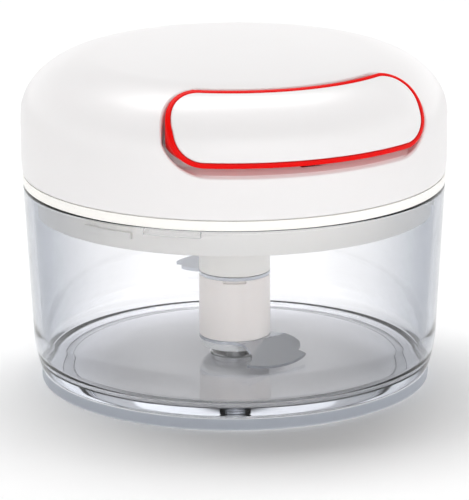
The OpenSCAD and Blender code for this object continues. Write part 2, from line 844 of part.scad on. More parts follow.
module handle_face() {
    boss_bottom = head_sink + handle_head_h + 1.1;
    color([0.97, 0.97, 0.97])
        difference() {
            union() {
                handle_shape(rim_proud + seat, rim_proud + face_t, -rim_w - seat);
                at_handle_screws()
                    translate([0, 0, boss_bottom]) cylinder(r = face_boss_r, h = back_t - boss_bottom + 0.6);
            }
            at_handle_screws() cylinder(r = screw_r, h = back_t - 0.2);
        }
}

module handle_screws() {
    color([0.75, 0.76, 0.78])
        at_handle_screws() {
            difference() {
                translate([0, 0, head_sink]) cylinder(r = handle_head_r, h = handle_head_h);
                translate([0, 0, head_sink - 0.5]) cylinder(r = 0.9, h = 1.1);
            }
            translate([0, 0, head_sink + handle_head_h - 0.1]) cylinder(r = screw_r, h = back_t - 1.9);
        }
}

bowl();
base_pad();
pivot_pin();
blade_sleeve();
pivot_bush();
lower_blade();
upper_blade();
blade_end_cap();
seal_ring();
lid_cover();
lid_plate();
lid_screws();
cord_eyelet();
shaft_bush();
spool_axle();
drive_claw();
drive_shaft();
roll_pin();
thrust_washer();
ratchet_rotor();
pawl_pins();
pawl_a();
pawl_b();
pawl_spring_a();
pawl_spring_b();
spool();
spool_cover();
recoil_spring();
cord_winding();
cord_lead();
cord_run();
cord_knot();
handle_face();
handle_back();
handle_screws();
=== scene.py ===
"""Hand chopper with a pull cord: the looks of each piece, put together from the table upwards."""

import math

import bmesh
import bpy
from mathutils import Matrix, Vector


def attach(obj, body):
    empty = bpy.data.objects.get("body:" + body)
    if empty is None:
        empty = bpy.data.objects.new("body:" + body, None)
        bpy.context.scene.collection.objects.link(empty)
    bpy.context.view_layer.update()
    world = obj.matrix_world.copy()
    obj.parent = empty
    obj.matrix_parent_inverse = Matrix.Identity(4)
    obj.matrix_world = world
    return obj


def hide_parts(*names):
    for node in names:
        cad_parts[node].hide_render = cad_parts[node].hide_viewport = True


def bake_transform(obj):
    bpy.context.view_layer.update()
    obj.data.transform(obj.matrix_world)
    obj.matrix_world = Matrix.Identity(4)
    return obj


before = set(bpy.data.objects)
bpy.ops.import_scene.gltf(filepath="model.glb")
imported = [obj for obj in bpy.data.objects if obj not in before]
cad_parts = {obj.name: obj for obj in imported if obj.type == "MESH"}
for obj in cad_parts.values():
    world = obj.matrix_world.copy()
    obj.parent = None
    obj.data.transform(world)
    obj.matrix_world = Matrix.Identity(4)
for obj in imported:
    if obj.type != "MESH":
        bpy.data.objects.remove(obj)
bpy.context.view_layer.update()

# Studio. A long lens looks down at the chopper from the left of its handle. The table is white card.
# A room that is brightest low down and in front lights it, with a soft panel above and behind, which
# throws the shadow forwards, and a weak one in front.

scene = bpy.context.scene
scene.view_settings.view_transform = "Standard"


def linear(code):
    """An sRGB hex colour as linear RGBA."""
    parts = [int(code[i : i + 2], 16) / 255 for i in (0, 2, 4)]
    return [c / 12.92 if c <= 0.04045 else ((c + 0.055) / 1.055) ** 2.4 for c in parts] + [1]


def add(tree, kind, settings=None, inputs=None):
    """Adds a shader node with its settings, input values and links, and returns it."""
    node = tree.nodes.new("ShaderNode" + kind)
    for name, value in (settings or {}).items():
        setattr(node, name, value)
    for name, value in (inputs or {}).items():
        if isinstance(value, bpy.types.NodeSocket):
            tree.links.new(value, node.inputs[name])
        else:
            node.inputs[name].default_value = value
    return node


def new_material(name):
    """An empty node material and its tree."""
    made = bpy.data.materials.new(name)
    made.use_nodes = True
    made.node_tree.nodes.clear()
    return made, made.node_tree


camera_azimuth = math.radians(-21.5)
camera_elevation = 0.26182
camera_pitch = -0.26898
camera_roll = -0.00462
camera_distance = 1.0
aim_height = 0.045

camera = bpy.data.objects.new("camera", bpy.data.cameras.new("camera"))
scene.collection.objects.link(camera)
camera.data.lens = 242.8
camera.data.sensor_width = 36
forward = Vector((0, math.cos(camera_pitch), math.sin(camera_pitch)))
right = forward.cross(Vector((0, 0, 1))).normalized()
up = right.cross(forward)
tilted_right = right * math.cos(camera_roll) + up * math.sin(camera_roll)
tilted_up = up * math.cos(camera_roll) - right * math.sin(camera_roll)
place = Vector((
    0,
    -camera_distance * math.cos(camera_elevation),
    aim_height + camera_distance * math.sin(camera_elevation),
))
facing = Matrix((tilted_right, tilted_up, -forward)).transposed().to_4x4()
turn = Matrix.Rotation(camera_azimuth, 4, "Z")
camera.matrix_world = turn @ Matrix.Translation(place) @ facing
scene.camera = camera

world = bpy.data.worlds.new("bright_room")
scene.world = world
world.use_nodes = True
world.node_tree.nodes.clear()
outward = add(world.node_tree, "TexCoord")
height = add(world.node_tree, "SeparateXYZ", {}, {"Vector": outward.outputs["Generated"]})
upward = add(world.node_tree, "MapRange", {}, {
    "Value": height.outputs["Z"], "From Max": 0.55, "To Min": 1.75, "To Max": 0.1,
})
frontward = add(world.node_tree, "MapRange", {}, {
    "Value": height.outputs["Y"], "From Min": -1.0, "To Min": 1.95, "To Max": 0.8,
})
brightness = add(world.node_tree, "Math", {"operation": "MULTIPLY"}, {
    0: upward.outputs["Result"], 1: frontward.outputs["Result"],
})
walls = add(world.node_tree, "Background", {}, {
    "Color": linear("FFFFFF"), "Strength": brightness.outputs[0],
})
add(world.node_tree, "OutputWorld", {}, {"Surface": walls.outputs[0]})


def soft_panel(name, size, power, at, towards):
    """A rectangular softbox that faces a point."""
    lamp = bpy.data.lights.new(name, "AREA")
    lamp.shape = "RECTANGLE"
    lamp.size, lamp.size_y = size
    lamp.energy = power
    panel = bpy.data.objects.new(name, lamp)
    scene.collection.objects.link(panel)
    panel.location = at
    panel.rotation_euler = (Vector(towards) - Vector(at)).to_track_quat("-Z", "Y").to_euler()
    return panel


soft_panel("panel_above", (1.1, 0.56), 13.0, (0.05, 0.38, 1.2), (0, 0, 0.05))
soft_panel("panel_front", (1.1, 0.5), 1.5, (-0.3, -1.3, 0.4), (0, 0, 0.06))


def white_card():
    """Matt white card: almost no shine, and a faint mottle of about 16 mm."""
    made, tree = new_material("white_card")
    spots = add(tree, "TexNoise", {}, {"Scale": 500.0, "Detail": 3.0})
    tone = add(tree, "Mix", {"data_type": "RGBA"}, {
        "Factor": spots.outputs["Fac"],
        "A": linear("FCFCFC"),
        "B": linear("FEFEFE"),
    })
    paper = add(tree, "BsdfPrincipled", {}, {
        "Base Color": tone.outputs["Result"],
        "Roughness": 0.9,
        "Specular IOR Level": 0.1,
    })
    add(tree, "OutputMaterial", {}, {"Surface": paper.outputs[0]})
    return made


card = bpy.data.meshes.new("table_card")
card.from_pydata([(-4, -4, 0), (4, -4, 0), (4, 4, 0), (-4, 4, 0)], [], [(0, 1, 2, 3)])
card.materials.append(white_card())
table_card = bpy.data.objects.new("table_card", card)
scene.collection.objects.link(table_card)

# Base pad. A moulded silicone disc, milky grey, pressed onto a rib under the bowl so that the bowl
# does not slide when the cord is pulled. Three shallow grooves in its underside help it to grip.


def rounded(corners, steps=5, shortest=1.2, longest=5, beside=0.2):
    """A line of (r, z, radius) corners as (r, z) points, each corner rounded by its radius.

    Long straight stretches get points near their ends, so that only the roundings shade as round."""
    points = []
    for i, (r, z, radius) in enumerate(corners):
        corner = Vector((r, z))
        if radius == 0:
            points.append(corner)
            continue
        back = (Vector(corners[i - 1][:2]) - corner).normalized()
        ahead = (Vector(corners[(i + 1) % len(corners)][:2]) - corner).normalized()
        half = back.angle(ahead) / 2
        centre = corner + (back + ahead).normalized() * radius / math.sin(half)
        first = corner + back * radius / math.tan(half) - centre
        last = corner + ahead * radius / math.tan(half) - centre
        sweep = first.angle_signed(last)
        for k in range(steps + 1):
            a = -sweep * k / steps
            points.append(centre + Matrix.Rotation(a, 2) @ first)
    line = [points[0]]
    for start, end in zip(points, points[1:]):
        length = (end - start).length
        if length > shortest:
            pieces = math.ceil(length / longest)
            shares = [beside / length] + [k / pieces for k in range(1, pieces)] + [1 - beside / length]
            line += [start.lerp(end, share) for share in shares]
        line.append(end)
    return line


def turned(profile, steps=192, closed=False):
    """Vertices and faces of a line of (r, z) points turned about the Z axis."""
    verts, faces, rings = [], [], []
    for r, z in profile:
        if r < 1e-6:
            rings.append([len(verts)] * steps)
            verts.append((0, 0, z))
            continue
        rings.append(range(len(verts), len(verts) + steps))
        for i in range(steps):
            a = 2 * math.pi * i / steps
            verts.append((r * math.cos(a), r * math.sin(a), z))
    following = rings[1:] + ([rings[0]] if closed else [])
    for low, high in zip(rings, following):
        for i in range(steps):
            j = (i + 1) % steps
            corners = list(dict.fromkeys((low[i], low[j], high[j], high[i])))
            if len(corners) > 2:
                faces.append(corners)
    return verts, faces


def solid(name, verts, faces):
    """A mesh object from vertices in millimetres, with its faces turned outwards."""
    mesh = bpy.data.meshes.new(name)
    mesh.from_pydata([Vector(v) * 0.001 for v in verts], [], faces)
    work = bmesh.new()
    work.from_mesh(mesh)
    bmesh.ops.remove_doubles(work, verts=work.verts, dist=1e-6)
    bmesh.ops.recalc_face_normals(work, faces=work.faces)
    work.to_mesh(mesh)
    work.free()
    made = bpy.data.objects.new(name, mesh)
    scene.collection.objects.link(made)
    return made


def fit(piece, finish, body, nodes, crease=32):
    """Gives a piece its finish, smooth shading up to a crease angle, its body and the nodes it stands for.

    A piece between two bodies has no body of its own."""
    piece.data.materials.clear()
    piece.data.materials.append(finish)
    piece.data.shade_smooth()
    piece.data.set_sharp_from_angle(angle=math.radians(crease))
    if body:
        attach(piece, body)
    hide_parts(*nodes)
    return piece


def milky_silicone():
    """Milky silicone: satin, slightly see-through, with a faint bloom of a few millimetres.

    Its upright edge is painted greyer than its top, as painted shade."""
    made, tree = new_material("milky_silicone")
    place = add(tree, "TexCoord")
    bloom = add(tree, "TexNoise", {}, {
        "Vector": place.outputs["Object"], "Scale": 160.0, "Detail": 4.0,
    })
    tone = add(tree, "Mix", {"data_type": "RGBA"}, {
        "Factor": bloom.outputs["Fac"], "A": linear("F0F1F4"), "B": linear("F6F7F9"),
    })
    surface = add(tree, "NewGeometry")
    lie = add(tree, "SeparateXYZ", {}, {"Vector": surface.outputs["Normal"]})
    flat = add(tree, "Math", {"operation": "ABSOLUTE"}, {0: lie.outputs["Z"]})
    # Upright faces are painted grey as painted shade; flat faces keep the pale tone.
    shaded_side = add(tree, "Mix", {"data_type": "RGBA"}, {
        "Factor": flat.outputs[0], "A": linear("A4A9B2"), "B": tone.outputs["Result"],
    })
    gloss = add(tree, "MapRange", {}, {
        "Value": bloom.outputs["Fac"], "To Min": 0.3, "To Max": 0.45,
    })
    rubber = add(tree, "BsdfPrincipled", {}, {
        "Base Color": shaded_side.outputs["Result"],
        "Roughness": gloss.outputs["Result"],
        "IOR": 1.41,
        "Subsurface Weight": 0.25,
        "Subsurface Radius": (0.004, 0.004, 0.004),
        "Subsurface Scale": 1.0,
    })
    add(tree, "OutputMaterial", {}, {"Surface": rubber.outputs[0]})
    return made


pad_r = 57.7
pad_h = 4.0
rib_r = 51.1
rib_w = 2.4
rib_h = 1.6
rib_seat = 0.05
pad_gap = 0.12
groove_depth = 0.4
groove_w = 2.0
groove_side = 0.4
groove_round = 0.1

pad_top = pad_h - pad_gap
pad_line = [(0, 0, 0)]
for groove_r in (18.0, 32.0, 45.0):
    pad_line += [
        (groove_r, 0, groove_round), (groove_r + groove_side, groove_depth, groove_round),
        (groove_r + groove_w - groove_side, groove_depth, groove_round),
        (groove_r + groove_w, 0, groove_round),
    ]
pad_line += [
    (pad_r, 0, 0.7), (pad_r, pad_top, 0.25), (rib_r + rib_seat, pad_top, 0.2),
    (rib_r + rib_seat, pad_top - rib_h, 0), (rib_r - rib_w - rib_seat, pad_top - rib_h, 0),
    (rib_r - rib_w - rib_seat, pad_top, 0.2), (0, pad_top, 0),
]
pad = solid("grip_pad", *turned(rounded(pad_line, 3)))
fit(pad, milky_silicone(), "bowl", ["base_pad"])

# Bowl. One injection moulding in clear SAN with a 2.5 mm wall, a curved foot, a boss for the pivot
# pin and three bayonet lugs inside its rim. The pad's rib is part of it.

rim_r = 62.25
bowl_h = 59.8
wall = 2.5
foot_r = 60.1
foot_top_z = 17.0
foot_tuck = 2.2
floor_z = 6.6
floor_fillet = 4.0
boss_r = 7.0
boss_top_z = 8.9
pin_hole_r = 3.0
pin_hole_z = 5.0
lug_in_r = 58.4
lug_root = 0.6
lug_first_a = 223.5
lug_sweep = 16.0
lug_z = 57.4
lug_h = 1.8


def wall_radius(z):
    """Outer radius of the bowl at a height."""
    if z >= foot_top_z:
        return foot_r + (rim_r - foot_r) * (z - foot_top_z) / (bowl_h - foot_top_z)
    return foot_r - foot_tuck * ((foot_top_z - z) / (foot_top_z - pad_h)) ** 2


def arc_block(r_in, r_out, z0, z1, start, sweep, steps=12):
    """Vertices and faces of a block bent round the axis, with its angles in degrees."""
    verts, faces = [], []
    for i in range(steps + 1):
        a = math.radians(start + sweep * i / steps)
        for r, z in ((r_in, z0), (r_out, z0), (r_out, z1), (r_in, z1)):
            verts.append((r * math.cos(a), r * math.sin(a), z))
    for i in range(steps):
        for k in range(4):
            m = (k + 1) % 4
            faces.append((4 * i + k, 4 * i + m, 4 * i + 4 + m, 4 * i + 4 + k))
    faces += [(0, 3, 2, 1), tuple(4 * steps + k for k in range(4))]
    return verts, faces


def combine(piece, tool, operation):
    """Joins tool to the piece or cuts it out, and uses the tool up."""
    step = piece.modifiers.new(operation, "BOOLEAN")
    step.object = tool
    step.operation = operation
    step.solver = "EXACT"
    graph = bpy.context.evaluated_depsgraph_get()
    piece.data = bpy.data.meshes.new_from_object(piece.evaluated_get(graph))
    piece.modifiers.clear()
    bpy.data.objects.remove(tool)
    return piece


def clear_plastic():
    """Clear SAN: glossy, faintly blue in its depth, with cloudy wash marks about 20 mm across.

    Its upright walls are painted darker towards their outline: painted shade for the darker room the walls
    reflect and for the longer look through the wall."""
    made, tree = new_material("clear_san")
    place = add(tree, "TexCoord")
    marks = add(tree, "TexNoise", {}, {
        "Vector": place.outputs["Object"], "Scale": 45.0, "Detail": 5.0, "Roughness": 0.6,
    })
    gloss = add(tree, "MapRange", {}, {
        "Value": marks.outputs["Fac"], "From Min": 0.35, "From Max": 0.75,
        "To Min": 0.0, "To Max": 0.035,
    })
    slant = add(tree, "LayerWeight", {}, {"Blend": 0.5})
    surface = add(tree, "NewGeometry")
    lie = add(tree, "SeparateXYZ", {}, {"Vector": surface.outputs["Normal"]})
    flat = add(tree, "Math", {"operation": "ABSOLUTE"}, {0: lie.outputs["Z"]})
    upright = add(tree, "MapRange", {}, {
        "Value": flat.outputs[0], "From Max": 0.8, "To Min": 1.0, "To Max": 0.0,
    })
    painted_outline_shade = add(tree, "MapRange", {}, {
        "Value": slant.outputs["Facing"], "From Min": 0.12, "From Max": 0.75,
    })
    share = add(tree, "Math", {"operation": "MULTIPLY"}, {
        0: painted_outline_shade.outputs["Result"], 1: upright.outputs["Result"],
    })
    # The tone is painted darker towards the outline on upright walls, as painted shade.
    tone = add(tree, "Mix", {"data_type": "RGBA"}, {
        "Factor": share.outputs[0], "A": linear("FEFEFF"), "B": linear("929AA7"),
    })
    body = add(tree, "BsdfPrincipled", {}, {
        "Base Color": tone.outputs["Result"],
        "Roughness": gloss.outputs["Result"],
        "IOR": 1.5,
        "Transmission Weight": 1.0,
    })
    let_through = add(tree, "BsdfTransparent", {}, {"Color": linear("FCFCFD")})
    path = add(tree, "LightPath")
    either = add(tree, "MixShader", {}, {
        0: path.outputs["Is Shadow Ray"], 1: body.outputs[0], 2: let_through.outputs[0],
    })
    depth = add(tree, "VolumeAbsorption", {}, {"Color": linear("A5AFC0"), "Density": 6.0})
    add(tree, "OutputMaterial", {}, {"Surface": either.outputs[0], "Volume": depth.outputs[0]})
    return made


bowl_line = [(0, pad_h, 0), (rib_r - rib_w, pad_h, 0.1), (rib_r - rib_w, pad_h - rib_h, 0.1)]
bowl_line += [(rib_r, pad_h - rib_h, 0.1), (rib_r, pad_h, 0.1), (wall_radius(pad_h), pad_h, 0.5)]
bowl_line += [(wall_radius(pad_h + 0.65 * i), pad_h + 0.65 * i, 0) for i in range(2, 21)]
bowl_line += [(rim_r, bowl_h, 0.8), (rim_r - wall, bowl_h, 0.6), (foot_r - wall, foot_top_z, 0)]
inner_foot = wall_radius(floor_z + floor_fillet) - wall
for i in range(1, 13):
    a = math.radians(-90 * i / 12)
    bowl_line.append((
        inner_foot - floor_fillet * (1 - math.cos(a)),
        floor_z + floor_fillet * (1 + math.sin(a)),
        0,
    ))
bowl_line += [
    (boss_r, floor_z, 0.8), (boss_r - 0.7, boss_top_z, 0.3), (pin_hole_r, boss_top_z, 0.1),
    (pin_hole_r, pin_hole_z, 0), (0, pin_hole_z, 0),
]
bowl = solid("bowl_moulding", *turned(rounded(bowl_line)))
for i in range(3):
    lug = arc_block(
        lug_in_r, rim_r - wall + lug_root, lug_z, lug_z + lug_h, lug_first_a + 120 * i, lug_sweep
    )
    combine(bowl, solid("lug", *lug), "UNION")
fit(bowl, clear_plastic(), "bowl", ["bowl"])

# Pivot pin and bush. A turned stainless pin pressed into the boss carries the blade hub on a
# sintered bronze bush, which is pressed into the hub's sleeve.


def turned_steel():
    """Turned stainless steel: bright metal with rings left by the lathe, drawn coarse, 0.3 mm apart."""
    made, tree = new_material("turned_stainless")
    place = add(tree, "TexCoord")
    rings = add(tree, "TexWave", {"bands_direction": "Z"}, {
        "Vector": place.outputs["Object"], "Scale": 1050.0, "Distortion": 1.5, "Detail": 2.0,
    })
    relief = add(tree, "Bump", {}, {
        "Height": rings.outputs["Fac"], "Strength": 0.12, "Distance": 0.00005,
    })
    gloss = add(tree, "MapRange", {}, {
        "Value": rings.outputs["Fac"], "To Min": 0.18, "To Max": 0.3,
    })
    metal = add(tree, "BsdfPrincipled", {}, {
        "Base Color": linear("C9CBCF"),
        "Metallic": 1.0,
        "Roughness": gloss.outputs["Result"],
        "Normal": relief.outputs["Normal"],
    })
    add(tree, "OutputMaterial", {}, {"Surface": metal.outputs[0]})
    return made


def sintered_bronze():
    """Sintered bronze: matt, warm metal with open pores of about 0.3 mm that hold its oil."""
    made, tree = new_material("sintered_bronze")
    place = add(tree, "TexCoord")
    pores = add(tree, "TexVoronoi", {}, {"Vector": place.outputs["Object"], "Scale": 3000.0})
    tone = add(tree, "Mix", {"data_type": "RGBA"}, {
        "Factor": pores.outputs["Distance"], "A": linear("7D6238"), "B": linear("C3A468"),
    })
    relief = add(tree, "Bump", {}, {
        "Height": pores.outputs["Distance"], "Strength": 0.3, "Distance": 0.0001,
    })
    metal = add(tree, "BsdfPrincipled", {}, {
        "Base Color": tone.outputs["Result"],
        "Metallic": 1.0,
        "Roughness": 0.42,
        "Normal": relief.outputs["Normal"],
    })
    add(tree, "OutputMaterial", {}, {"Surface": metal.outputs[0]})
    return made


def dress(finish, *nodes):
    """Gives CAD nodes a finish."""
    for node in nodes:
        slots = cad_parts[node].data.materials
        slots.clear()
        slots.append(finish)


bright_pin_steel = turned_steel()
bronze = sintered_bronze()
dress(bright_pin_steel, "pivot_pin")
dress(bronze, "pivot_bush", "shaft_bush")

# Blade hub. A cream acetal sleeve clamps the two blades: the lower one against a white end cap, the
# upper one under the sleeve's claws, which the lid's coupling drives.

hub_r = 10.6
blade_rest_a = -21.5
cap_z = 9.15
lower_blade_z = 11.55
sleeve_z = 12.55
upper_blade_z = 31.15
spigot_r = 7.6
spigot_seat = 0.05
spigot_z = 9.95
cap_bore_r = 4.0
bush_r = 5.0
socket_z = 33.95
claw_top_z = 37.45
claw_in = 5.0
claw_out = 7.4
claw_sweep = 40.0
notch_w = 7.0
notch_h = 0.9


def moulded(name, low, high, rough, grain_mm, depth_mm, glow=0.0, shine=0.5):
    """Moulded plastic: its colour drifts a little, and the mould's spark-eroded grain breaks its gloss."""
    made, tree = new_material(name)
    place = add(tree, "TexCoord")
    drift = add(tree, "TexNoise", {}, {
        "Vector": place.outputs["Object"], "Scale": 40.0, "Detail": 2.0,
    })
    grain = add(tree, "TexNoise", {}, {
        "Vector": place.outputs["Object"], "Scale": 1000.0 / grain_mm, "Detail": 2.0,
    })
    tone = add(tree, "Mix", {"data_type": "RGBA"}, {
        "Factor": drift.outputs["Fac"], "A": linear(low), "B": linear(high),
    })
    gloss = add(tree, "MapRange", {}, {
        "Value": grain.outputs["Fac"], "From Min": 0.3, "From Max": 0.7,
        "To Min": rough - 0.04, "To Max": rough + 0.05,
    })
    edge = add(tree, "Bevel", {"samples": 3}, {"Radius": 0.00025})
    relief = add(tree, "Bump", {}, {
        "Height": grain.outputs["Fac"], "Strength": 0.35, "Distance": depth_mm * 0.001,
        "Normal": edge.outputs["Normal"],
    })
    plastic = add(tree, "BsdfPrincipled", {}, {
        "Base Color": tone.outputs["Result"],
        "Roughness": gloss.outputs["Result"],
        "IOR": 1.5,
        "Specular IOR Level": shine,
        "Subsurface Weight": glow,
        "Subsurface Radius": (0.002, 0.0018, 0.0016),
        "Subsurface Scale": 1.0,
        "Normal": relief.outputs["Normal"],
    })
    add(tree, "OutputMaterial", {}, {"Surface": plastic.outputs[0]})
    return made


def strip_steel(name, tint, rough):
    """Rolled and ground strip steel: scratches 2.5 mm long and 0.2 mm apart."""
    made, tree = new_material(name)
    place = add(tree, "TexCoord")
    lines = add(tree, "Mapping", {}, {
        "Vector": place.outputs["Object"],
        "Rotation": (0, 0, math.radians(35)),
        "Scale": (400.0, 5200.0, 5200.0),
    })
    scratches = add(tree, "TexNoise", {}, {"Vector": lines.outputs["Vector"], "Scale": 1.0, "Detail": 4.0})
    tone = add(tree, "Mix", {"data_type": "RGBA"}, {
        "Factor": scratches.outputs["Fac"], "A": linear(tint[0]), "B": linear(tint[1]),
    })
    gloss = add(tree, "MapRange", {}, {
        "Value": scratches.outputs["Fac"], "To Min": rough - 0.06, "To Max": rough + 0.08,
    })
    relief = add(tree, "Bump", {}, {
        "Height": scratches.outputs["Fac"], "Strength": 0.15, "Distance": 0.00004,
    })
    metal = add(tree, "BsdfPrincipled", {}, {
        "Base Color": tone.outputs["Result"],
        "Metallic": 1.0,
        "Roughness": gloss.outputs["Result"],
        "Normal": relief.outputs["Normal"],
    })
    add(tree, "OutputMaterial", {}, {"Surface": metal.outputs[0]})
    return made


cream_acetal = moulded("cream_acetal", "F6EFEB", "F9F4F0", 0.32, 0.35, 0.006, glow=0.1)
white_acetal = moulded("white_acetal", "F1F3F4", "F6F8F9", 0.3, 0.35, 0.006, glow=0.1)

cap_line = [
    (cap_bore_r, cap_z, 0.2), (hub_r - 0.9, cap_z, 0.7), (hub_r - 0.15, lower_blade_z, 0.15),
    (spigot_r + spigot_seat, lower_blade_z, 0), (spigot_r + spigot_seat, spigot_z, 0),
    (cap_bore_r, spigot_z, 0),
]
end_cap = solid("hub_end_cap", *turned(rounded(cap_line), 96, closed=True))
fit(end_cap, white_acetal, "blades", ["blade_end_cap"])

sleeve_line = [
    (bush_r, spigot_z, 0.1), (spigot_r, spigot_z, 0.3), (spigot_r, sleeve_z, 0),
    (hub_r, sleeve_z, 0.25), (hub_r, upper_blade_z, 0.35), (spigot_r, upper_blade_z, 0),
    (spigot_r, socket_z, 0.3), (bush_r, socket_z, 0.2),
]
sleeve = solid("hub_sleeve", *turned(rounded(sleeve_line), 128, closed=True))
for start in (-claw_sweep / 2, 180 - claw_sweep / 2):
    claw = arc_block(claw_in, claw_out, socket_z - 0.5, claw_top_z, start, claw_sweep)
    combine(sleeve, solid("claw", *claw), "UNION")
notch = arc_block(
    hub_r - 1.0, hub_r + 1, upper_blade_z - notch_h, upper_blade_z + 0.1,
    blade_rest_a - 90 - math.degrees(notch_w / hub_r / 2), math.degrees(notch_w / hub_r),
)
combine(sleeve, solid("notch", *notch), "DIFFERENCE")
fit(sleeve, cream_acetal, "blades", ["blade_sleeve"])

dress(strip_steel("blade_steel", ("B4B8BF", "C6C9CF"), 0.14), "upper_blade", "lower_blade")

# Lid plate and seal. The plate is a cream ABS moulding that closes the cover from below. Its skirt
# and three lugs reach into the bowl, its boss covers the coupling, and a silicone ring seals the rim.

cream_abs = moulded("cream_abs", "F6F4EF", "FAF8F4", 0.3, 0.4, 0.006, glow=0.05)
dress(cream_abs, "lid_plate")
dress(milky_silicone(), "seal_ring")

# Cover. A domed white ABS moulding with a gloss surface. A pocket in its front takes the handle, and
# a bush in the pocket's floor leads the cord out. Three screws from below hold the plate to it.

lid_r = 62.65
cover_z = 63.0
shoulder_z = 80.0
shoulder_w = 22.9
shoulder_h = 17.8
plateau_r = 39.75
crown = 0.6
lid_wall = 2.2
cord_z = 80.4
mouth_r = 4.8
pocket_gap = 2.7
pocket_end_gap = 1.2
pocket_depth = 5.2
pocket_slope = 1.8
handle_w = 78.0
handle_z = 78.2
corner_r = 8.3
handle_top_a = 66.0
eyelet_back_y = 53.35
eyelet_seat = 1.25
pocket_fillet = 0.7
pocket_roll_a = 72
edge_taper = 0.35
taper_top_z = 67.0
edge_round = 0.3
tub_below = 0.5

shoulder_steps = 720
shoulder_arcs = [0.0]
for i in range(shoulder_steps):
    a = math.pi / 2 * (i + 0.5) / shoulder_steps
    step = math.hypot(shoulder_w * math.sin(a), shoulder_h * math.cos(a))
    shoulder_arcs.append(shoulder_arcs[-1] + step * math.pi / 2 / shoulder_steps)


def shoulder_length(degrees):
    """Length along the shoulder from its foot to an angle."""
    k = degrees / 90 * shoulder_steps
    low = min(int(k), shoulder_steps - 1)
    return shoulder_arcs[low] + (shoulder_arcs[low + 1] - shoulder_arcs[low]) * (k - low)


def side_point(s, off):
    """(r, z) at a length s up the lid's side, which is negative below the shoulder, moved outwards."""
    if s <= 0:
        return lid_r + off, shoulder_z + s
    low, high = 0, shoulder_steps
    while high - low > 1:
        middle = (low + high) // 2
        low, high = (middle, high) if shoulder_arcs[middle] <= s else (low, middle)
    k = low + min(1, (s - shoulder_arcs[low]) / (shoulder_arcs[high] - shoulder_arcs[low]))
    a = math.pi / 2 * k / shoulder_steps
    normal = Vector((math.cos(a) / shoulder_w, math.sin(a) / shoulder_h)).normalized()
    return (
        plateau_r + shoulder_w * math.cos(a) + off * normal.x,
        shoulder_z + shoulder_h * math.sin(a) + off * normal.y,
    )


def length_where(test):
    """The length up the lid's side where a test stops being true."""
    low, high = -20.0, shoulder_arcs[-1]
    for _ in range(34):
        middle = (low + high) / 2
        low, high = (middle, high) if test(middle) else (low, middle)
    return low


def half_width(s, off, grow, narrow):
    """Half the handle outline's width at a length up the lid's side, grown and narrowed by margins."""
    r, z = side_point(s, off)
    straight = handle_w / 2 - narrow - corner_r
    radius = corner_r + grow
    drop = max(0, handle_z + corner_r - z)
    low_x = straight + math.sqrt(max(0, radius ** 2 - drop ** 2))
    reach = plateau_r + shoulder_w * math.cos(math.radians(handle_top_a)) + corner_r
    centre = Vector((straight, -math.sqrt(reach ** 2 - straight ** 2)))
    along = (r ** 2 - radius ** 2 + reach ** 2) / (2 * reach)
    if along >= r:
        return low_x
    across = math.sqrt(r ** 2 - along ** 2)
    unit = centre / reach
    high_x = unit.x * along - unit.y * across
    high_y = unit.y * along + unit.x * across
    if high_y < centre.y:
        high_x = handle_w / 2 - narrow + grow
    return min(low_x, high_x)


def outline(off, grow, lift=0.0, narrow=0.0, rows=40, columns=28):
    """The handle's outline on the lid's side as (x, length, pull) points.

    It is grown by one margin all round, and narrowed at its two ends by another.
    pull is the point on the middle line that the same point moves to as a filled face closes in."""
    reach = plateau_r + shoulder_w * math.cos(math.radians(handle_top_a)) - grow
    top_a = handle_top_a + grow * 2.1
    top_r = max(reach, side_point(shoulder_length(top_a), off)[0])
    top = length_where(lambda s: side_point(s, off)[0] > top_r)
    low = length_where(lambda s: side_point(s, off)[1] < handle_z - grow + lift)
    middle = (top + low) / 2
    flat = handle_w / 2 - narrow - (top - low) / 2
    span = [low + (top - low) * (1 - math.cos(math.pi * k / rows)) / 2 for k in range(rows + 1)]
    sides = [(half_width(s, off, grow, narrow), s) for s in span]
    loop = []
    for k in range(columns):
        share = 2 * k / columns - 1
        loop.append((sides[0][0] * share, low, (flat * share, middle)))
    loop += [(x, s, (flat, middle)) for x, s in sides]
    for k in range(1, columns):
        share = 1 - 2 * k / columns
        loop.append((sides[-1][0] * share, top, (flat * share, middle)))
    loop += [(-x, s, (-flat, middle)) for x, s in reversed(sides)]
    return loop


def on_side(x, s, off):
    """The point at a width and a length up the lid's side, moved outwards."""
    r, z = side_point(s, off)
    return (x, -math.sqrt(max(r * r - x * x, 0)), z)


def closed_in(loop, share, off):
    """A loop of points moved a share of the way to the outline's middle line."""
    return [
        on_side(x + (pull[0] - x) * share, s + (pull[1] - s) * share, off) for x, s, pull in loop
    ]


def skinned(loops):
    """Vertices and faces of loops of equal length joined in turn."""
    verts = [v for loop in loops for v in loop]
    n = len(loops[0])
    faces = []
    for i in range(len(loops) - 1):
        for k in range(n):
            m = (k + 1) % n
            faces.append((i * n + k, i * n + m, (i + 1) * n + m, (i + 1) * n + k))
    return verts, faces


def filled(loop, off, crown_of=lambda share: 0.0, steps=14):
    """Loops that close an outline in to its middle line, raised by a crown."""
    shares = [k / steps for k in range(1, steps + 1)]
    return [closed_in(loop, share, off + crown_of(share)) for share in shares]


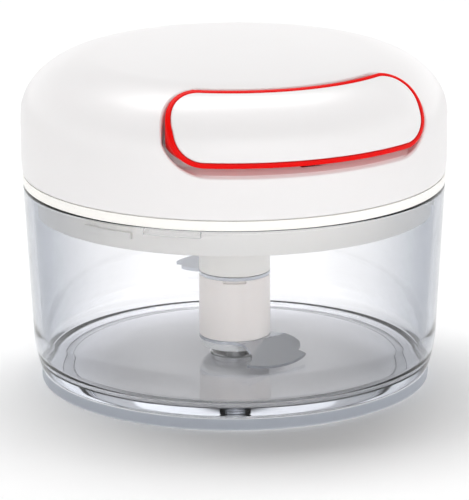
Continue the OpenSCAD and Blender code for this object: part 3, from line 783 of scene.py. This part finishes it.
def pocket(depth, gap, top_off, edge=0.9):
    """The pocket's space as loops: its floor, a rounded corner, its wall and a rolled edge."""
    narrow = pocket_gap - pocket_end_gap
    floor_loop = outline(-depth, gap - pocket_fillet, pocket_slope, narrow)
    loops = list(reversed(filled(floor_loop, -depth)))
    loops.append(closed_in(floor_loop, 0, -depth))
    for k in range(1, 5):
        a = math.pi / 2 * k / 4
        off = -depth + pocket_fillet * (1 - math.cos(a))
        slope = pocket_slope * (1 - (off + depth) / depth)
        grown = outline(off, gap - pocket_fillet * (1 - math.sin(a)), slope, narrow)
        loops.append(closed_in(grown, 0, off))
    for share in (0.35, 0.7, 1.0):
        off = -depth + pocket_fillet + (depth - pocket_fillet - edge) * share
        loops.append(closed_in(outline(off, gap, -pocket_slope * off / depth, narrow), 0, off))
    for k in range(1, 5):
        a = math.radians(pocket_roll_a) * k / 4
        off = -edge * (1 - math.sin(a))
        loops.append(closed_in(outline(off, gap + edge * (1 - math.cos(a)), 0, narrow), 0, off))
    last = outline(top_off, gap + edge, 0, narrow)
    loops.append(closed_in(last, 0, top_off))
    return loops + filled(last, top_off)


def dome_line(inset):
    """The lid's profile from its top down to its lower edge, moved inwards."""
    line = []
    for k in range(13):
        r = plateau_r * k / 12
        line.append((r, shoulder_z + shoulder_h + crown * (1 - (r / plateau_r) ** 2) - inset))
    for k in range(1, 61):
        line.append(side_point(shoulder_arcs[-1] * (1 - k / 60), -inset))
    return line


def gloss_white_abs():
    """Gloss white ABS: smooth, a touch warm, with the slow ripple of a large moulding."""
    made, tree = new_material("gloss_white_abs")
    place = add(tree, "TexCoord")
    drift = add(tree, "TexNoise", {}, {
        "Vector": place.outputs["Object"], "Scale": 22.0, "Detail": 3.0,
    })
    grain = add(tree, "TexNoise", {}, {
        "Vector": place.outputs["Object"], "Scale": 2200.0, "Detail": 2.0,
    })
    tone = add(tree, "Mix", {"data_type": "RGBA"}, {
        "Factor": drift.outputs["Fac"], "A": linear("E5E3E3"), "B": linear("E9E7E7"),
    })
    gloss = add(tree, "MapRange", {}, {
        "Value": grain.outputs["Fac"], "From Min": 0.3, "From Max": 0.7,
        "To Min": 0.3, "To Max": 0.36,
    })
    slow = add(tree, "Bump", {}, {
        "Height": drift.outputs["Fac"], "Strength": 0.1, "Distance": 0.0004,
    })
    fine = add(tree, "Bump", {}, {
        "Height": grain.outputs["Fac"], "Strength": 0.04, "Distance": 0.00001,
        "Normal": slow.outputs["Normal"],
    })
    plastic = add(tree, "BsdfPrincipled", {}, {
        "Base Color": tone.outputs["Result"],
        "Roughness": gloss.outputs["Result"],
        "IOR": 1.5,
        "Subsurface Weight": 0.06,
        "Subsurface Radius": (0.003, 0.0026, 0.0024),
        "Subsurface Scale": 1.0,
        "Normal": fine.outputs["Normal"],
    })
    add(tree, "OutputMaterial", {}, {"Surface": plastic.outputs[0]})
    return made


white_abs = gloss_white_abs()

edge_r = lid_r - edge_taper
cover_line = dome_line(0) + [(lid_r, taper_top_z), (edge_r + 0.1, 64.0), (edge_r, 63.3)]
cover_line += [(edge_r - edge_round, cover_z), (edge_r - lid_wall, cover_z)]
cover_line += reversed([(r, z) for r, z in dome_line(lid_wall) if z > 63.5 or r < 50])
cover = solid("cover_moulding", *turned(cover_line, 288))
tub = skinned(pocket(pocket_depth + lid_wall, pocket_gap + lid_wall, -tub_below, edge=0.6))
combine(cover, solid("tub", *tub), "UNION")
combine(cover, solid("pocket", *skinned(pocket(pocket_depth, pocket_gap, 4.0))), "DIFFERENCE")


def along_cord(radius, y0, y1, steps=48, rise=0.0):
    """A round bar along the cord's line."""
    verts, faces = turned([(0, y0), (radius, y0), (radius, y1), (0, y1)], steps)
    return [(x, -z, cord_z + rise + y) for x, y, z in verts], faces


combine(cover, solid("mouth", *along_cord(mouth_r + 0.02, 50.0, 59.0)), "DIFFERENCE")
seat = along_cord(mouth_r + eyelet_seat, 49.3, eyelet_back_y + eyelet_seat)
combine(cover, solid("seat", *seat), "DIFFERENCE")
fit(cover, white_abs, "lid", ["lid_cover"], crease=28)


def zinc_plate():
    """Zinc-plated steel: pale metal with a fine crystal mottle under 1 mm across."""
    made, tree = new_material("zinc_plated_steel")
    place = add(tree, "TexCoord")
    crystals = add(tree, "TexVoronoi", {}, {"Vector": place.outputs["Object"], "Scale": 1600.0})
    gloss = add(tree, "MapRange", {}, {
        "Value": crystals.outputs["Distance"], "To Min": 0.25, "To Max": 0.45,
    })
    metal = add(tree, "BsdfPrincipled", {}, {
        "Base Color": linear("C4C7CB"),
        "Metallic": 1.0,
        "Roughness": gloss.outputs["Result"],
    })
    add(tree, "OutputMaterial", {}, {"Surface": metal.outputs[0]})
    return made


zinc = zinc_plate()
dress(zinc, "lid_screws", "roll_pin", "thrust_washer")
# The eyelet is painted near black with a red cast: painted shade in the pocket's mouth and a painted
# reflection of the red handle.
dress(moulded("painted_shade_eyelet", "2E2124", "38282B", 0.4, 0.3, 0.01), "cord_eyelet")

# Drive. A steel shaft in the plate's bush is pinned to the claw that turns the hub. The rotor on its
# top carries two pawls on steel pins, each pushed out by a small torsion spring.

dress(bright_pin_steel, "drive_shaft", "spool_axle", "pawl_pins")
natural_acetal = moulded("natural_acetal", "E4E3DC", "ECEBE5", 0.34, 0.3, 0.012, glow=0.15)
dress(natural_acetal, "drive_claw")
blue_acetal = moulded("pale_blue_acetal", "C9D3DE", "D3DCE6", 0.34, 0.3, 0.012, glow=0.1)
dress(blue_acetal, "ratchet_rotor", "spool_cover")
dress(moulded("amber_acetal", "D9A63A", "E3B44C", 0.32, 0.3, 0.012, glow=0.1), "pawl_a", "pawl_b")
dress(
    strip_steel("spring_strip", ("6F747B", "868B92"), 0.32),
    "pawl_spring_a", "pawl_spring_b", "recoil_spring",
)

# Spool and cord. The spool is one moulding in pale acetal with the ratchet's teeth under it and the
# spring's cup on top. The braided nylon cord is 2 mm thick and is wound on it in three layers.

cord_r = 1.0
drum_r = 17.0
drum_z = 77.4
drum_top_z = 83.4
layers = 3
turns_per_layer = 2.6
layer_step = 1.95
step_share = 0.07
eyelet_y = 53.25
knot_y = 60.55

dress(moulded("spool_acetal", "DCDDE1", "E5E6EA", 0.36, 0.35, 0.012, glow=0.1), "spool")


def braided_nylon():
    """Braided nylon: matt white, with crossing strands drawn coarse, as ridges 1.6 mm apart, and painted
    shade in the grooves between them.
    """
    made, tree = new_material("braided_nylon")
    place = add(tree, "TexCoord")
    one = add(tree, "TexWave", {"bands_direction": "DIAGONAL"}, {
        "Vector": place.outputs["Object"], "Scale": 230.0, "Distortion": 0.6,
    })
    mirrored = add(tree, "Mapping", {}, {
        "Vector": place.outputs["Object"], "Scale": (-1.0, 1.0, 1.0),
    })
    other = add(tree, "TexWave", {"bands_direction": "DIAGONAL"}, {
        "Vector": mirrored.outputs["Vector"], "Scale": 230.0, "Distortion": 0.6,
    })
    strands = add(tree, "Math", {"operation": "MAXIMUM"}, {
        0: one.outputs["Fac"], 1: other.outputs["Fac"],
    })
    # The grooves between the strands are painted darker, as painted shade.
    tone = add(tree, "Mix", {"data_type": "RGBA"}, {
        "Factor": strands.outputs[0], "A": linear("C9C8C4"), "B": linear("F0EFEB"),
    })
    relief = add(tree, "Bump", {}, {
        "Height": strands.outputs[0], "Strength": 0.6, "Distance": 0.0002,
    })
    yarn = add(tree, "BsdfPrincipled", {}, {
        "Base Color": tone.outputs["Result"],
        "Roughness": 0.75,
        "Sheen Weight": 0.3,
        "Normal": relief.outputs["Normal"],
    })
    add(tree, "OutputMaterial", {}, {"Surface": yarn.outputs[0]})
    return made


def tube_along(path, radius, sides=12, closed=False):
    """Vertices and faces of a tube along points in millimetres."""
    verts, faces = [], []
    side = None
    n = len(path)
    for i, p in enumerate(path):
        before = path[i - 1] if i or closed else p
        after = path[(i + 1) % n] if i < n - 1 or closed else p
        ahead = (Vector(after) - Vector(before)).normalized()
        if side is None:
            side = ahead.orthogonal().normalized()
        side = (side - ahead * side.dot(ahead)).normalized()
        across = ahead.cross(side)
        for k in range(sides):
            a = 2 * math.pi * k / sides
            verts.append(Vector(p) + (side * math.cos(a) + across * math.sin(a)) * radius)
    for i in range(n if closed else n - 1):
        j = (i + 1) % n
        for k in range(sides):
            m = (k + 1) % sides
            faces.append((i * sides + k, i * sides + m, j * sides + m, j * sides + k))
    if not closed:
        faces += [tuple(range(sides)), tuple(range((n - 1) * sides, n * sides))]
    return verts, faces


nylon = braided_nylon()
winding_path = []
for layer in range(layers):
    r = drum_r + cord_r + 0.02 + layer_step * layer
    for k in range(120):
        share = k / 120
        climb = share if layer % 2 == 0 else 1 - share
        z = drum_z + cord_r + 0.05 + climb * (drum_top_z - drum_z - 2 * cord_r - 0.1)
        ease = max(0, (share - 1) / step_share + 1) * layer_step if layer < layers - 1 else 0
        a = -2 * math.pi * turns_per_layer * (layer + share)
        winding_path.append(((r + ease) * math.cos(a), (r + ease) * math.sin(a), z))
winding = solid("cord_on_spool", *tube_along(winding_path, cord_r * 0.98, 10))
fit(winding, nylon, "spool", ["cord_winding"], crease=60)
dress(nylon, "cord_lead")

run_path = [(0, -eyelet_y - (knot_y - eyelet_y) * k / 48, cord_z) for k in range(49)]
run = solid("cord_to_handle", *tube_along(run_path, cord_r, 20))
fit(run, nylon, None, ["cord_run"], crease=60)
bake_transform(run)

# Handle. A red ABS back whose raised lip shows as a red line round a gloss white ABS face, which is
# set inside it and screwed on from behind. The cord's knot sits in a hollow between the two.

back_t = 4.8
rim_proud = 0.3
rim_lip = 0.9
face_t = 1.7
rim_w = 1.5
knot_hollow_r = 2.3
knot_rise = 0.8
knot_loop = 0.46
knot_wave = 0.75
knot_strand_r = 0.72
back_round = 0.4
lip_round = 0.5
lip_inner_round = 0.2
screw_side_x = 24.0
screw_a = 42.0
screw_recess_r = 2.5
screw_recess = 1.6


def at_screws(verts):
    """Two copies of vertices set square on the back's inner face, where its screws are."""
    copies = []
    r, z = side_point(shoulder_length(screw_a), rim_proud - back_t)
    a = math.radians(screw_a)
    normal = Vector((math.cos(a) / shoulder_w, math.sin(a) / shoulder_h)).normalized()
    tip = Matrix.Rotation(math.atan2(normal.x, normal.y), 4, "X")
    for side in (-1, 1):
        swing = Matrix.Rotation(side * math.asin(screw_side_x / r), 4, "Z")
        place = swing @ Matrix.Translation((0, -r, z)) @ tip
        copies.append([place @ Vector(v) for v in verts])
    return copies


red_abs = moulded("red_abs", "DE0806", "E60E0A", 0.34, 0.4, 0.005, shine=0.08)

back_off = rim_proud - back_t
lip_off = rim_proud + rim_lip
inner_loop = outline(back_off, -back_round)
loops = list(reversed(filled(inner_loop, back_off))) + [closed_in(inner_loop, 0, back_off)]
for k in range(1, 4):
    a = math.pi / 2 * k / 3
    off = back_off + back_round * (1 - math.cos(a))
    loops.append(closed_in(outline(off, -back_round * (1 - math.sin(a))), 0, off))
for share in (0.08, 0.35, 0.65, 0.92, 1.0):
    off = back_off + back_round + (back_t + rim_lip - back_round - lip_round) * share
    loops.append(closed_in(outline(off, 0), 0, off))
for k in range(1, 5):
    a = math.pi / 2 * k / 4
    off = lip_off - lip_round * (1 - math.sin(a))
    loops.append(closed_in(outline(off, -lip_round * (1 - math.cos(a))), 0, off))
for k in range(3):
    a = math.pi / 2 * k / 2
    off = lip_off - lip_inner_round * (1 - math.cos(a))
    loops.append(closed_in(outline(off, lip_inner_round * (1 - math.sin(a)) - rim_w), 0, off))
for off in (rim_proud + 0.15, rim_proud):
    loops.append(closed_in(outline(off, -rim_w), 0, off))
loops += filled(outline(rim_proud, -rim_w), rim_proud)
back = solid("handle_back_moulding", *skinned(loops))
combine(back, solid("bore", *along_cord(cord_r + 0.05, 50, knot_y, 24)), "DIFFERENCE")
hollow_end = lid_r + rim_proud + 0.05
hollow = along_cord(knot_hollow_r, knot_y - knot_hollow_r, hollow_end, 40, knot_rise)
combine(back, solid("hollow", *hollow), "DIFFERENCE")
recess = turned([(0, -8), (screw_recess_r, -8), (screw_recess_r, screw_recess), (0, screw_recess)], 40)
for copy in at_screws(recess[0]):
    combine(back, solid("recess", copy, recess[1]), "DIFFERENCE")
fit(back, red_abs, "handle", ["handle_back"], crease=30)

face_off = rim_proud + 0.05
face_grow = -rim_w - 0.08
face_edge = 0.5
edge_off = lip_off - 0.05
pillow = face_t + rim_proud - edge_off
loops = list(reversed(filled(outline(face_off, face_grow), face_off)))
for off in (face_off, face_off + 0.1, edge_off - face_edge - 0.1):
    loops.append(closed_in(outline(off, face_grow), 0, off))
for k in range(6):
    a = math.pi / 2 * k / 5
    off = edge_off - face_edge * (1 - math.sin(a))
    loops.append(closed_in(outline(off, face_grow - face_edge * (1 - math.cos(a))), 0, off))
loops += filled(
    outline(edge_off, face_grow - face_edge), edge_off, lambda share: pillow * (1 - (1 - share) ** 2), 18
)
face = solid("handle_face_moulding", *skinned(loops))
fit(face, white_abs, "handle", ["handle_face"], crease=40)

knot_path = []
for k in range(72):
    a = 2 * math.pi * k / 72
    knot_path.append((
        knot_loop * (math.sin(a) + 2 * math.sin(2 * a)),
        -knot_y + knot_wave * math.sin(3 * a),
        cord_z + knot_rise + knot_loop * (math.cos(a) - 2 * math.cos(2 * a)),
    ))
knot = solid("cord_end_knot", *tube_along(knot_path, knot_strand_r, 12, closed=True))
fit(knot, nylon, "handle", ["cord_knot"], crease=60)
dress(zinc, "handle_screws")
